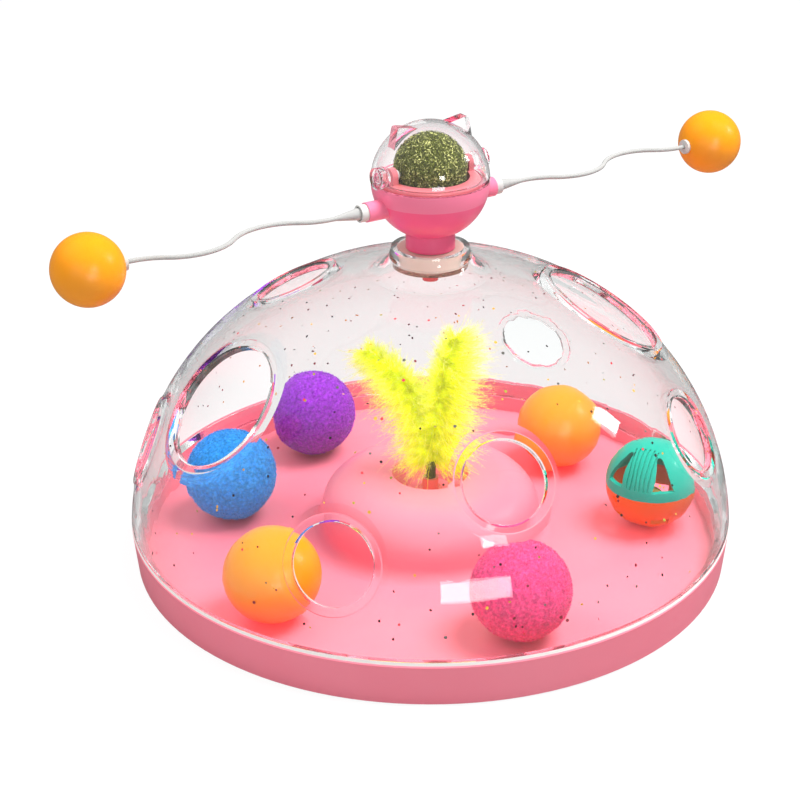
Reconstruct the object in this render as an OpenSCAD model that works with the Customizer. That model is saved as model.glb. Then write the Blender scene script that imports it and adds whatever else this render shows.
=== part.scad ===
// Cat turntable toy: a clear dome over a round tray of loose balls, and on top
// a spinning pod with a catnip ball under a clear cover and two wire arms.

/* [Base] */
// Outer diameter of the base at its rim
base_d = 266; // [256:1:286]
// How much smaller the base's radius is at its lower edge
base_taper = 1.5; // [0:0.1:3]
// Height of the rim's top above the table
rim_h = 19.5; // [18:0.5:24]
// Thickness of the rim wall around the dome's skirt
rim_t = 3; // [2:0.1:4]
// Width of the shelf inside the rim wall
shelf_w = 3; // [2.4:0.1:4]
// Height of the shelf above the table
shelf_h = 12.5; // [9:0.5:14]
// Height of the floor's top above the table
floor_h = 5; // [4.5:0.5:7]
// Thickness of the floor and of the mound's shell
floor_t = 2.5; // [1.6:0.1:3]
// Gap between the base's lower edge and the table
table_gap = 1; // [0.5:0.1:1.4]
// Bevel on the rim's outer edge
rim_bevel = 0.8; // [0.2:0.1:1.4]
// Number of keys on the shelf that stop the dome turning
key_count = 4; // [2:1:8]
// Width of a key
key_w = 8; // [5:0.5:14]
// Height of a key above the shelf
key_h = 3.6; // [2:0.2:4]
// Diameter of a rubber pad
pad_d = 16; // [8:1:22]
// Number of rubber pads
pad_count = 6; // [3:1:12]
// Distance of the pads' centres inside the wall
pad_inset = 14; // [12:1:30]

/* [Mound] */
// Diameter of the mound's upright side
mound_d = 98; // [86:1:106]
// Height of the mound above the floor
mound_h = 28; // [24:1:34]
// Radius of the mound's rounded shoulder
mound_shoulder = 18; // [10:1:20]
// Radius of the hollow fillet at the mound's foot
mound_fillet = 6; // [2:0.5:7]
// Diameter of the crater at its brim
crater_d = 34; // [30:1:42]
// Diameter of the crater's flat bottom
crater_floor_d = 22; // [16:1:26]
// Depth of the crater
crater_depth = 9; // [6:0.5:11]

/* [Dome] */
// Radius of the dome's arc
dome_arc = 122; // [118:0.1:126]
// Height of the arc's centre above the table
dome_spring = 8.7; // [5:0.1:12]
// Thickness of the dome's wall
dome_wall = 3; // [2:0.1:4]
// Height above the rim where the slope inside the foot ring ends
foot_ring_h = 3; // [2:0.5:3.5]
// Depth below the rim's top where that slope begins
foot_slope = 1.5; // [0.5:0.1:3]
// Diameter of a large paw hole
large_hole_d = 54; // [46:1:58]
// Diameter of a small paw hole
small_hole_d = 33; // [28:1:34]
// Width of the flat lip round a paw hole
lip_t = 3.7; // [2:0.1:4]
// Least height of a lip's flat over the dome at the hole's edge
lip_proud = 0.3; // [0.2:0.1:0.8]
// Width of the broken edges of a lip
lip_edge = 0.5; // [0.3:0.1:0.6]
// Width of the slope from a lip out into the dome
lip_slope = 6.5; // [4:0.5:7]

/* [Neck] */
// Outer diameter of the neck where its flare would turn upright
neck_d = 33; // [32.6:0.2:36]
// Height of the neck's top above the crown
neck_rise = 9.5; // [9.2:0.1:11]
// Radius of the neck's flare
neck_flare = 12; // [10:0.5:12.5]
// Thickness of the neck where it is upright
neck_wall = 2.2; // [1.8:0.1:2.6]
// Outer diameter of the well that hangs in the neck
well_d = 31.4; // [30.6:0.2:32]
// Thickness of the well's wall and floor
well_wall = 1.6; // [1.2:0.1:2]
// Depth of the well's underside below the neck's top
well_h = 8.7; // [8:0.1:11]
// Depth of the bush's top below the neck's top
bush_recess = 0.5; // [0.2:0.1:1]
// Diameter of the bush's spigot in the well's floor
spigot_d = 12.2; // [11:0.2:15]
// Length of the bush's spigot under the well
spigot_len = 2.2; // [2:0.1:8]

/* [Pod] */
// Diameter of the round pod
pod_d = 49.4; // [48.8:0.2:52]
// Thickness of the bowl
pod_wall = 2.5; // [1.8:0.1:3]
// Diameter of the pod's foot
foot_d = 20.8; // [18:0.2:23]
// Height of the foot between the neck and the bowl
foot_h = 6.7; // [6:0.1:8]
// Height of the light band at the bowl's top
band_h = 7; // [6:0.1:8]
// Thickness of the band at its top
band_t = 1.8; // [1.4:0.1:2]
// Thickness of the ledge that carries the holder
ledge_t = 2; // [1:0.1:2.6]
// Width of the ledge
ledge_w = 3; // [2.2:0.1:3.6]
// Diameter of the spindle under the foot
spindle_d = 8; // [6.4:0.2:9]
// Diameter of the retaining screw's head
screw_head_d = 7; // [5:0.2:8]
// Height of the retaining screw's head
screw_head_h = 4; // [2:0.1:4.4]
// Diameter of the retaining screw's shank
screw_d = 2.6; // [2:0.1:3.4]
// Length of the retaining screw's shank
screw_len = 9; // [7:0.5:12]
// Diameter of the retaining washer
washer_d = 10; // [9.6:0.2:15]
// Thickness of the retaining washer
washer_t = 0.8; // [0.5:0.1:1.2]

/* [Catnip] */
// Diameter of the catnip ball
catnip_d = 31; // [29:0.2:31.4]
// Height of the axle above the pod's middle
axle_rise = 4.6; // [4.4:0.1:5.4]
// Diameter of the axle
axle_d = 2.5; // [2:0.1:3.2]
// Diameter of the axle's shoulders beside the ball
shoulder_d = 4.2; // [3.6:0.1:5]
// Gap between the catnip ball and its cup
cup_gap = 1.1; // [0.8:0.1:1.4]
// Thickness of the cup
cup_wall = 1.5; // [1.2:0.1:1.8]
// Radius of the cup's rolled rim
roll_r = 1.9; // [1.6:0.1:2]
// Width of a post that carries the axle
post_w = 6.6; // [5:0.2:8]
// Thickness of a post
post_t = 2.4; // [1.8:0.1:2.6]
// Gap between the catnip ball and a post
post_gap = 1.7; // [1.5:0.1:2]
// Diameter of the stem under the cup
stem_d = 10; // [6:0.5:14]

/* [Cover] */
// Thickness of the clear cover
cover_wall = 1.6; // [1.2:0.1:1.9]
// Thickness of the cover's spigot inside the band
cover_spigot_t = 1.3; // [1:0.1:1.5]
// Depth of the cover's spigot
cover_spigot_h = 1.6; // [1:0.1:1.8]
// Diameter of a hub on the cover
hub_d = 9; // [7:0.1:9]
// How far a hub stands proud of the pod's roundness
hub_proud = 1.7; // [1:0.1:2.5]
// Elevation of an ear's middle on the cover
ear_angle = 56; // [50:1:60]
// Half of the angle that an ear's root spans
ear_span = 19; // [14:1:22]
// Height of an ear's tip above the cover
ear_h = 5; // [3:0.2:7]
// Thickness of an ear
ear_t = 5; // [3:0.2:7]
// Radius of an ear's tip
ear_tip_r = 1.3; // [0.8:0.1:2]

/* [Arms] */
// Distance from the pod's axis to the middle of an end ball
arm_reach = 150.8; // [130:0.5:175]
// Depth of the arms below the pod's middle
arm_drop = 8.6; // [7.6:0.1:9.4]
// Diameter of a stub on the band
stub_d = 8.2; // [7.4:0.1:8.6]
// Length of a stub beyond the pod's roundness
stub_len = 6.5; // [5:0.1:12]
// Diameter of the white collar on a stub
collar_d = 7.2; // [7:0.1:10]
// Thickness of a collar behind the ball of the boot
collar_web = 0.3; // [0.2:0.1:0.8]
// Diameter of the boot at its ball-shaped root
boot_d = 5.2; // [4:0.1:5.6]
// Length of a boot
boot_len = 11; // [8:0.5:16]
// Diameter of the coated wire
wire_d = 1.9; // [1.4:0.1:2.6]
// Angle by which the wire's first bend turns
wave_bend = 32; // [10:1:38]
// Length of the straight wire at each end
wire_lead = 2; // [1:0.5:6]
// Diameter of an end ball
end_ball_d = 28.3; // [24:0.1:34]
// Thickness of an end ball's shell
end_ball_wall = 1.5; // [1:0.1:3]
// Diameter of the white ferrule on an end ball
ferrule_d = 6.4; // [5:0.2:9]
// Length of a ferrule outside the end ball
ferrule_len = 1; // [0.8:0.1:5]

/* [Feather] */
// Diameter of the feather's quill
quill_d = 4.8; // [3.6:0.1:5.2]
// Outer diameter of the feather's socket
socket_d = 7.6; // [7.4:0.1:9]
// Height of the socket above the crater's bottom
socket_rise = 6.5; // [5:0.5:9]
// Depth of the socket below the crater's bottom
socket_deep = 9.5; // [6:0.5:12]
// Diameter of the socket's flange
socket_flange_d = 11; // [10:0.5:14]
// Height of the plumes' roots above the socket
plume_root = 8; // [4:1:14]
// Length of a plume
plume_len = 66; // [54:1:70]
// Width of a plume at its fullest
plume_w = 23; // [16:1:26]
// Lean of the left plume
plume_left_lean = 23; // [16:1:30]
// Lean of the right plume
plume_right_lean = 10; // [6:1:16]

/* [Balls] */
// Diameter of a hollow ball
ball_d = 40; // [34:0.5:44]
// Thickness of a hollow ball's shell
ball_wall = 0.6; // [0.4:0.1:1.2]
// Diameter of a plush ball
plush_d = 41.6; // [36:0.2:44]
// Diameter of the rattle ball
rattle_d = 40.6; // [38:0.2:44]
// Thickness of the rattle ball's wall
rattle_wall = 2; // [1.4:0.1:2.4]
// Height of the band at the rattle ball's middle
rattle_band_h = 4.4; // [3:0.2:6]
// Number of windows in the rattle ball's upper half
window_count = 5; // [3:1:5]
// Width of a window at its sill
window_w = 10; // [7:0.5:11]
// Height of a window
window_h = 13; // [9:0.5:14]
// Number of grooves on a ribbed panel
groove_count = 6; // [3:1:7]
// Distance between grooves
groove_pitch = 2; // [1.6:0.1:2.2]
// Width of a groove
groove_w = 0.7; // [0.4:0.1:1]
// Depth of a groove
groove_depth = 0.7; // [0.3:0.1:1]
// Width of a slot in the rattle ball's lower half
slot_w = 8; // [5:0.5:10]
// Height of a slot
slot_h = 4; // [2.5:0.5:5]
// Diameter of the small bell inside
bell_d = 15; // [11:0.5:17]
// Thickness of the bell
bell_wall = 0.8; // [0.6:0.1:1.2]
// Width of the bell's slit
bell_slit = 1.6; // [1:0.1:2.4]
// Diameter of the bell's pellet
pellet_d = 4; // [3:0.2:6]

/* [Clearances] */
// Running clearance of a shaft in its bore, on the radius
run_fit = 0.05; // [0.02:0.01:0.09]
// Gap between pieces that lie or fit loosely together
loose_fit = 0.3; // [0.2:0.05:0.4]

/* [Hidden] */
$fn = 96;

// A cut runs this far past the face that it opens
over = 1;

// Base
base_r = base_d / 2;
rim_r = base_r - rim_t;
wall_r = rim_r - shelf_w;
floor_under = floor_h - floor_t;

// Mound
mound_r = mound_d / 2;
mound_top = floor_h + mound_h;
shoulder_z = mound_top - mound_shoulder;
shoulder_r = mound_r - mound_shoulder;
crater_r = crater_d / 2;
crater_z = mound_top - crater_depth;

// Dome: one arc turned about the axis, set out so that it meets the rim flush
arc_shift = base_r - sqrt(pow(dome_arc, 2) - pow(rim_h - dome_spring, 2));
crown_z = dome_spring + dome_arc;
skirt_r = rim_r - loose_fit;
skirt_z = shelf_h + loose_fit;

// Paw holes: azimuth, elevation of the hole's axis, diameter
PAW_HOLES = [
    [-107, 38, small_hole_d],
    [178.5, 43, large_hole_d],
    [-51.5, 31, small_hole_d],
    [-28, 58, large_hole_d],
    [135, 66, small_hole_d],
    [33, 19, small_hole_d],
    [-140, 22.5, small_hole_d],
    [152.5, 22, small_hole_d]
];

// Neck and its bearing
neck_top = crown_z + neck_rise;
flare_r = neck_d / 2 + neck_flare;
flare_z = flare_middle_z(dome_arc, neck_flare);
flare_foot_r = flare_touch_r(dome_arc, neck_flare);
inner_arc = dome_arc - dome_wall;
inner_flare = neck_flare + neck_wall;
inner_flare_z = flare_middle_z(inner_arc, inner_flare);
well_r = well_d / 2;
well_bore = well_r - well_wall;
well_z = neck_top - well_h;
well_floor = well_z + well_wall;
bush_top = neck_top - bush_recess;
spigot_z = well_z - spigot_len;

// Pod
pod_r = pod_d / 2;
foot_r = foot_d / 2;
foot_z = bush_top + loose_fit;
pod_z = neck_top + foot_h + sqrt(pow(pod_r, 2) - pow(foot_r, 2));
band_z = pod_z - band_h;
rebate_r = pod_r - band_t;
spindle_r = spindle_d / 2;
spindle_z = spigot_z - loose_fit;
washer_z = spindle_z - washer_t;
bowl_floor_z = neck_top + foot_h + pod_wall;

// Catnip ball, its cup, posts and axle
catnip_r = catnip_d / 2;
axle_z = pod_z + axle_rise;
axle_r = axle_d / 2;
cup_r = catnip_r + cup_gap;
cup_outer_r = cup_r + cup_wall;
cover_seat_r = rebate_r - run_fit * 4 - cover_spigot_t;
roll_ring_r = cover_seat_r - loose_fit - roll_r;
ledge_z = pod_z - cover_spigot_h - loose_fit * 2;
post_in = catnip_r + post_gap;
post_out = post_in + post_t;

// Arms
arm_z = pod_z - arm_drop;
stub_end = pod_r + stub_len;
collar_bore_r = boot_d / 2 + loose_fit;
flex_x = stub_end + collar_web + collar_bore_r;
wire_x = flex_x + boot_len;
end_ball_r = end_ball_d / 2;
ferrule_x = arm_reach - end_ball_r - ferrule_len;
wave_back = acos(2 * cos(wave_bend) - 1);
wave_len = ferrule_x - wire_x - 2 * wire_lead;
bend_r = wave_len / (4 * sin(wave_bend) + 2 * sin(wave_back));
HEADINGS = [0, -wave_bend, wave_back, -wave_bend, 0];
bend_steps = 9;
wire_sides = 16;

// Feather
quill_r = quill_d / 2;
socket_top = crater_z + socket_rise;
socket_z = crater_z - socket_deep;
socket_floor = 1.5;
socket_flange_t = 1;
quill_z = socket_z + socket_floor + loose_fit;
plume_z = socket_top + plume_root;
plume_sink = 4;
plume_blunt = 0.97;
fan_turn = -32;

// Loose balls: the track runs between the mound's foot and the wall
track_r = (mound_r + mound_fillet + wall_r) / 2;
track_w = wall_r - mound_r - mound_fillet;
ball_r = ball_d / 2;
plush_r = plush_d / 2;
rattle_r = rattle_d / 2;
bell_r = bell_d / 2;
pellet_r = pellet_d / 2;

// Places on the track: distance outside its middle as a share of its width, azimuth
ORANGE_FRONT = [0.111, -163];
ORANGE_BACK = [-0.049, 12.5];
PURPLE = [0.049, 95];
BLUE = [0, 141];
MAGENTA = [0.0625, -100];
RATTLE = [0.118, -30];

// Rattle ball
rattle_in_r = rattle_r - rattle_wall;
rattle_turn = -11;
slot_drop = 35;
bell_drop = rattle_in_r - bell_r - loose_fit;
pellet_drop = bell_r - bell_wall - pellet_r - loose_fit;

// Ring section between two radii and two heights
module ring_section(r_in, r_out, z_low, z_high)
    translate([r_in, z_low]) square([r_out - r_in, z_high - z_low]);

// Half section of a round body, kept on the axis's positive side
module half_plane(r_max, z_low, z_high)
    ring_section(0, r_max, z_low, z_high);

// Upright rod between two heights
module rod(r, z_low, z_high)
    translate([0, 0, z_low]) cylinder(r = r, h = z_high - z_low);

// Level rod along X between two distances
module cross_rod(r, x_low, x_high, z)
    translate([x_low, 0, z]) rotate([0, 90, 0]) cylinder(r = r, h = x_high - x_low);

// Puts its children on the right arm, or turns them half round to the left one
module on_arm(side)
    rotate([0, 0, side > 0 ? 0 : 180]) children();

// Puts its children on the track, with their own origin at a ball's middle
module on_track(place, r)
    rotate([0, 0, place[1]]) translate([track_r + place[0] * track_w, 0, floor_h + loose_fit + r])
        children();

// Outline of the mound, drawn in by an inset for its hollow underside
module mound_outline(inset) {
    translate([shoulder_r, shoulder_z]) circle(r = mound_shoulder - inset);
    half_plane(shoulder_r, floor_under - over, mound_top - inset);
    half_plane(mound_r - inset, floor_under - over, shoulder_z);
}

// Outline of the crater's hollow, let out by its wall for the cup round it
module crater_outline(grow)
    polygon([
        [0, crater_z - grow],
        [crater_floor_d / 2 + grow, crater_z - grow],
        [crater_r + grow, mound_top],
        [crater_r + grow, mound_top + (grow > 0 ? 0 : over)],
        [0, mound_top + (grow > 0 ? 0 : over)]
    ]);

module base_section() {
    difference() {
        union() {
            difference() {
                union() {
                    half_plane(wall_r + over, floor_under, floor_h);
                    intersection() {
                        mound_outline(0);
                        half_plane(mound_r, floor_under, mound_top);
                    }
                    difference() {
                        ring_section(mound_r - over, mound_r + mound_fillet, floor_h, floor_h + mound_fillet);
                        translate([mound_r + mound_fillet, floor_h + mound_fillet]) circle(r = mound_fillet);
                    }
                }
                mound_outline(floor_t);
            }
            crater_outline(floor_t);
        }
        crater_outline(0);
    }
    polygon([
        [wall_r, floor_under],
        [base_r - base_taper - rim_t, floor_under],
        [base_r - base_taper - rim_t, table_gap],
        [base_r - base_taper, table_gap],
        [base_r, rim_h - rim_bevel],
        [base_r - rim_bevel, rim_h],
        [rim_r, rim_h],
        [rim_r, shelf_h],
        [wall_r, shelf_h]
    ]);
}

module base_tray() {
    color("hotpink") {
        difference() {
            rotate_extrude() base_section();
            rod(socket_d / 2 + run_fit, crater_z - floor_t - over, crater_z + over);
        }
        for (i = [0 : key_count - 1])
            rotate([0, 0, (i + 0.5) * 360 / key_count])
                translate([wall_r + loose_fit, -key_w / 2, shelf_h])
                    cube([shelf_w + rim_t / 2, key_w, key_h]);
    }
}

module anti_slip_pads() {
    color("dimgray")
        for (i = [0 : pad_count - 1])
            rotate([0, 0, i * 360 / pad_count])
                translate([wall_r - pad_inset, 0, 0]) cylinder(d = pad_d, h = floor_under);
}

module feather_socket() {
    color("lightsalmon") difference() {
        union() {
            rod(socket_d / 2, socket_z, socket_top);
            rod(socket_flange_d / 2, crater_z, crater_z + socket_flange_t);
        }
        rod(quill_r + run_fit, socket_z + socket_floor, socket_top + over);
    }
}

module feather_quill()
    color("olivedrab") rod(quill_r, quill_z, plume_z);

// One plume that leans to one side and stands on the quill's top: a lens turned
// about its own axis, with blunt ends and a flat face along the feather's middle
module plume(side, lean) {
    half_w = plume_w / 2;
    half_len = plume_len / 2;
    lens_r = (pow(half_w, 2) + pow(half_len, 2)) / (2 * half_w);
    reach = plume_len + plume_w;
    rotate([0, 0, fan_turn]) intersection() {
        translate([0, 0, plume_z - plume_sink]) rotate([0, side * lean, 0]) translate([0, 0, half_len])
            rotate_extrude() intersection() {
                translate([half_w - lens_r, 0]) circle(r = lens_r);
                half_plane(half_w, -half_len * plume_blunt, half_len * plume_blunt);
            }
        translate([side > 0 ? loose_fit / 2 : -reach - loose_fit / 2, -reach / 2, plume_z])
            cube([reach, reach, reach]);
    }
}

module plume_left()
    color("yellow") plume(-1, plume_left_lean);

module plume_right()
    color("gold") plume(1, plume_right_lean);

// Filled outline of the dome, drawn in by an inset for its inner face
module dome_outline(inset) {
    translate([arc_shift, dome_spring]) circle(r = dome_arc - inset);
    half_plane(arc_shift, dome_spring, crown_z - inset);
}

// Height of a flare's middle, and radius where the flare touches the dome, for an arc and a flare that touch
function flare_middle_z(arc, flare) =
    dome_spring + sqrt(pow(arc + flare, 2) - pow(flare_r - arc_shift, 2));
function flare_touch_r(arc, flare) = arc_shift + (flare_r - arc_shift) * arc / (arc + flare);

// Space between the well and the flared wall of the neck
module neck_space() {
    difference() {
        ring_section(well_r, flare_touch_r(inner_arc, inner_flare), crown_z - 2 * dome_wall, inner_flare_z);
        translate([flare_r, inner_flare_z]) circle(r = inner_flare + run_fit);
    }
}

module dome_section() {
    difference() {
        union() {
            intersection() {
                dome_outline(0);
                ring_section(well_bore, base_r, rim_h, neck_top);
            }
            difference() {
                ring_section(well_bore, flare_foot_r, crown_z - 2 * dome_wall, neck_top);
                translate([flare_r, flare_z]) circle(r = neck_flare);
            }
        }
        dome_outline(dome_wall);
        neck_space();
        half_plane(well_r, crown_z - 2 * dome_wall, well_z);
    }
    // Foot ring, whose skirt goes down inside the rim
    polygon([
        [wall_r, skirt_z],
        [skirt_r, skirt_z],
        [skirt_r, rim_h],
        [base_r - dome_wall / 2, rim_h],
        [base_r - dome_wall / 2, rim_h + foot_ring_h],
        [wall_r, rim_h - foot_slope]
    ]);
    // Well that hangs in the neck
    ring_section(well_bore, well_r, well_z, neck_top);
    ring_section(spigot_d / 2 + run_fit, well_bore + well_wall / 2, well_z, well_floor);
}

// Depth of a curve below its top, at some distance from it
function sag(r, curve) = curve - sqrt(pow(curve, 2) - pow(r, 2));

// Height of a lip's flat over the hole's middle: the dome's curve round the axis is flatter than its arc
function lip_top(hole) = lip_proud - sag(hole[2] / 2, dome_arc + arc_shift / cos(hole[1]));

// Puts its children on the dome's surface with +Z along the hole's axis
module at_hole(hole)
    rotate([0, 0, hole[0]])
        translate([arc_shift + dome_arc * cos(hole[1]), 0, dome_spring + dome_arc * sin(hole[1])])
            rotate([0, 90 - hole[1], 0]) children();

// Flat lip round a hole, from which a slope runs out into the dome
module hole_lip(hole) {
    r = hole[2] / 2;
    top = lip_top(hole);
    slope_r = r + lip_t + lip_slope;
    slope_z = -sag(slope_r, dome_arc);
    rotate_extrude() polygon([
        [r - over, -sag(r, dome_arc) - dome_wall / 2],
        [r - over, top],
        [r + lip_t - lip_edge, top],
        [r + lip_t, top - lip_edge],
        [slope_r, slope_z - dome_wall / 10],
        [slope_r, slope_z - dome_wall / 2]
    ]);
}

// Hole with both its edges broken
module hole_bore(hole) {
    r = hole[2] / 2;
    inside = -sag(r, dome_arc) - dome_wall;
    cylinder(r = r, h = hole[2], center = true);
    translate([0, 0, lip_top(hole) - lip_edge])
        cylinder(r1 = r, r2 = r + lip_edge + over, h = lip_edge + over);
    translate([0, 0, inside - over])
        cylinder(r1 = r + lip_edge + over, r2 = r, h = lip_edge + over);
}

// Clear dome with its neck, its bearing well and its paw holes
module clear_dome() {
    color("lightcyan", 0.35) difference() {
        union() {
            rotate_extrude() dome_section();
            for (hole = PAW_HOLES) at_hole(hole) hole_lip(hole);
        }
        for (hole = PAW_HOLES)
            at_hole(hole) hole_bore(hole);
        for (i = [0 : key_count - 1])
            rotate([0, 0, (i + 0.5) * 360 / key_count])
                translate([wall_r - over, -key_w / 2 - loose_fit, skirt_z - over])
                    cube([shelf_w + over, key_w + 2 * loose_fit, key_h + over]);
    }
}

module bearing_bush() {
    color("antiquewhite") difference() {
        union() {
            rod(well_bore - run_fit, well_floor, bush_top);
            rod(spigot_d / 2, spigot_z, well_floor);
        }
        rod(spindle_r + run_fit, spigot_z - over, bush_top + over);
    }
}

module bowl_section() {
    difference() {
        union() {
            intersection() {
                translate([0, pod_z]) circle(r = pod_r);
                half_plane(pod_r, neck_top + foot_h, band_z);
            }
            half_plane(foot_r, foot_z, bowl_floor_z);
        }
        intersection() {
            translate([0, pod_z]) circle(r = pod_r - pod_wall);
            half_plane(pod_r, bowl_floor_z, pod_z);
        }
    }
    half_plane(spindle_r, spindle_z, foot_z + over);
}

module pod_bowl() {
    color("deeppink") difference() {
        rotate_extrude() bowl_section();
        cross_rod(stub_d / 2 + run_fit, -pod_d, pod_d, arm_z);
        rod(screw_d / 2 + run_fit, spindle_z - over, washer_z - over + screw_len + 2 * over);
    }
}

module arm_ring_section() {
    difference() {
        intersection() {
            translate([0, pod_z]) circle(r = pod_r);
            half_plane(pod_r, band_z, pod_z);
        }
        half_plane(rebate_r, ledge_z, pod_z + over);
        half_plane(rebate_r - ledge_w, band_z - over, pod_z);
        half_plane(rebate_r - band_t, band_z - over, ledge_z - ledge_t);
    }
}

module arm_ring() {
    color("lightpink") {
        rotate_extrude() arm_ring_section();
        for (side = [-1, 1])
            on_arm(side) cross_rod(stub_d / 2, rebate_r - band_t, stub_end, arm_z);
    }
}

module spindle_washer() {
    color("silver") difference() {
        rod(washer_d / 2, washer_z, spindle_z);
        rod(screw_d / 2 + run_fit, washer_z - over, spindle_z + over);
    }
}

module spindle_screw() {
    color("crimson") {
        rod(screw_head_d / 2, washer_z - screw_head_h, washer_z);
        rod(screw_d / 2, washer_z - over, washer_z + screw_len);
    }
}

module holder_section() {
    difference() {
        union() {
            intersection() {
                translate([0, axle_z]) circle(r = cup_outer_r);
                half_plane(cup_outer_r, axle_z - cup_outer_r, ledge_z + 2 * roll_r);
            }
            translate([roll_ring_r, ledge_z + roll_r]) circle(r = roll_r);
            ring_section(cup_r - cup_wall, roll_ring_r, ledge_z, ledge_z + 2 * roll_r);
            half_plane(stem_d / 2, bowl_floor_z, axle_z - cup_r);
        }
        translate([0, axle_z]) circle(r = cup_r);
    }
}

module catnip_holder() {
    color("palevioletred") difference() {
        union() {
            rotate_extrude() intersection() {
                holder_section();
                half_plane(pod_r, bowl_floor_z, axle_z);
            }
            for (side = [-1, 1]) on_arm(side) {
                cross_rod(post_w / 2, post_in, post_out, axle_z);
                translate([post_in, -post_w / 2, ledge_z + roll_r])
                    cube([post_t, post_w, axle_z - ledge_z - roll_r]);
            }
        }
        cross_rod(axle_r + run_fit, -pod_r, pod_r, axle_z);
    }
}

module catnip_axle() {
    color("white") {
        cross_rod(axle_r, -post_out, post_out, axle_z);
        for (side = [-1, 1])
            on_arm(side) cross_rod(shoulder_d / 2, catnip_r + loose_fit, post_in - run_fit, axle_z);
    }
}

module catnip_ball() {
    color("darkolivegreen") difference() {
        translate([0, 0, axle_z]) sphere(r = catnip_r);
        cross_rod(axle_r + run_fit, -catnip_d, catnip_d, axle_z);
    }
}

module cover_section() {
    intersection() {
        difference() {
            translate([0, pod_z]) circle(r = pod_r);
            translate([0, pod_z]) circle(r = pod_r - cover_wall);
        }
        half_plane(pod_r, pod_z, pod_z + pod_r);
    }
    intersection() {
        ring_section(cover_seat_r, pod_r, pod_z, pod_z + cover_wall);
        translate([0, pod_z]) circle(r = pod_r);
    }
    ring_section(cover_seat_r, cover_seat_r + cover_spigot_t, pod_z - cover_spigot_h, pod_z + cover_wall / 2);
}

// Point at some distance from the pod's middle and some elevation, in the arms' plane
function ear_point(r, angle) = [r * cos(angle), pod_z + r * sin(angle)];

module ear() {
    tip = ear_point(pod_r + ear_h - ear_tip_r, ear_angle);
    rotate([90, 0, 0]) linear_extrude(ear_t, center = true) difference() {
        union() {
            polygon([
                ear_point(pod_r - cover_wall / 2, ear_angle - ear_span),
                tip + ear_tip_r * [cos(ear_angle - 45), sin(ear_angle - 45)],
                tip + ear_tip_r * [cos(ear_angle + 45), sin(ear_angle + 45)],
                ear_point(pod_r - cover_wall / 2, ear_angle + ear_span)
            ]);
            translate(tip) circle(r = ear_tip_r);
        }
        translate([0, pod_z]) circle(r = pod_r - cover_wall / 2);
    }
}

module clear_cover() {
    hub_bore_r = hub_d / 2 - cover_wall;
    color("lightcyan", 0.35) difference() {
        union() {
            rotate_extrude() cover_section();
            for (side = [-1, 1]) on_arm(side) {
                cross_rod(hub_d / 2, cover_seat_r, pod_r + hub_proud, axle_z);
                ear();
            }
        }
        for (side = [-1, 1]) on_arm(side)
            cross_rod(hub_bore_r, cover_seat_r - over, pod_r + hub_proud - cover_wall, axle_z);
    }
}

module collar(side) {
    color("whitesmoke") on_arm(side) difference() {
        cross_rod(collar_d / 2, stub_end, flex_x, arm_z);
        translate([flex_x, 0, arm_z]) sphere(r = collar_bore_r);
    }
}

module boot(side) {
    color("whitesmoke") on_arm(side) translate([flex_x, 0, arm_z]) rotate([0, 90, 0])
        rotate_extrude() {
            intersection() {
                circle(d = boot_d);
                half_plane(boot_d, -boot_d, 0);
            }
            polygon([[0, 0], [boot_d / 2, 0], [wire_d / 2, boot_len], [0, boot_len]]);
        }
}

// Step along a level arc of the wire from one heading to another
function arc_step(from, to) =
    (to > from ? 1 : -1) * bend_r * [sin(to) - sin(from), cos(from) - cos(to)];

// Where a bend of the wire starts
function bend_start(k) =
    k == 0 ? [wire_x + wire_lead, 0] : bend_start(k - 1) + arc_step(HEADINGS[k - 1], HEADINGS[k]);

// Stations along the wire: x, y and heading
WIRE_PATH = [
    [wire_x, 0, 0],
    for (k = [0 : len(HEADINGS) - 2], i = [0 : bend_steps - (k < len(HEADINGS) - 2 ? 1 : 0)])
        let (
            heading = HEADINGS[k] + (HEADINGS[k + 1] - HEADINGS[k]) * i / bend_steps,
            at = bend_start(k) + arc_step(HEADINGS[k], heading)
        )
        [at[0], at[1], heading],
    [ferrule_x, 0, 0]
];

// Round wire carried along its path
module wire(side) {
    last = len(WIRE_PATH) - 1;
    r = wire_d / 2;
    color("whitesmoke") on_arm(side) translate([0, 0, arm_z]) polyhedron(
        points = [
            for (station = WIRE_PATH, i = [0 : wire_sides - 1])
                let (turn = i * 360 / wire_sides)
                [
                    station[0] - r * cos(turn) * sin(station[2]),
                    station[1] + r * cos(turn) * cos(station[2]),
                    r * sin(turn)
                ]
        ],
        faces = concat(
            [[for (i = [0 : wire_sides - 1]) i]],
            [
                for (k = [0 : last - 1], i = [0 : wire_sides - 1])
                    let (here = k * wire_sides, j = (i + 1) % wire_sides)
                    [here + i, here + wire_sides + i, here + wire_sides + j, here + j]
            ],
            [[for (i = [wire_sides - 1 : -1 : 0]) last * wire_sides + i]]
        )
    );
}

module ferrule(side) {
    color("white") on_arm(side) difference() {
        cross_rod(ferrule_d / 2, ferrule_x, arm_reach - end_ball_r / 2, arm_z);
        translate([arm_reach, 0, arm_z]) sphere(r = end_ball_r + run_fit);
    }
}

// Hollow ball with its middle at the origin
module hollow_ball(r, wall)
    difference() {
        sphere(r = r);
        sphere(r = r - wall);
    }

module end_ball(side)
    color("orange") on_arm(side) translate([arm_reach, 0, arm_z])
        hollow_ball(end_ball_r, end_ball_wall);

module left_collar() collar(-1);
module left_boot() boot(-1);
module left_wire() wire(-1);
module left_ferrule() ferrule(-1);
module left_end_ball() end_ball(-1);
module right_collar() collar(1);
module right_boot() boot(1);
module right_wire() wire(1);
module right_ferrule() ferrule(1);
module right_end_ball() end_ball(1);

module orange_ball_front()
    color("orange") on_track(ORANGE_FRONT, ball_r) hollow_ball(ball_r, ball_wall);

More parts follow.
